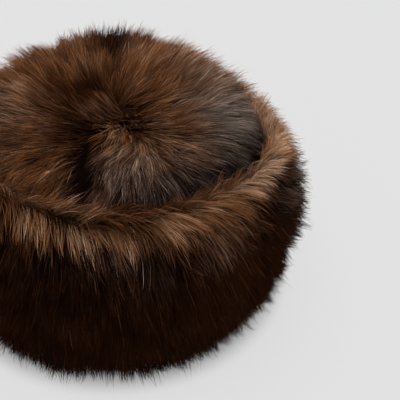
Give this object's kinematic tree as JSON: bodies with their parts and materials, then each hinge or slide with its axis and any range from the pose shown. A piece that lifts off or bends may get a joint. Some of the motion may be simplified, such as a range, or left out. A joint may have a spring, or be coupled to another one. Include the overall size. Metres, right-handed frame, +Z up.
{
  "type": "fur pillbox hat",
  "caption": "Round pillbox hat of deep brown fur with a flat-topped crown and a thick turned-up cuff, open below for the head.",
  "frame": {"origin": "centre of the overall box on the surface that the hat rests on, under the head opening", "axes": "+Z up along the hat's axis towards the crown's top, -Y towards the front, +X to the wearer's left"},
  "size_m": [0.2895, 0.2897, 0.16],
  "materials": {
    "backing": "knitted backing cloth",
    "crown_pile": "deep soft fur",
    "cuff_pile": "deep soft fur"
  },
  "bodies": {
    "root": {"crown_cloth": "backing", "crown_fur": "crown_pile", "cuff_cloth": "backing", "cuff_fur": "cuff_pile"}
  },
  "joints": []
}
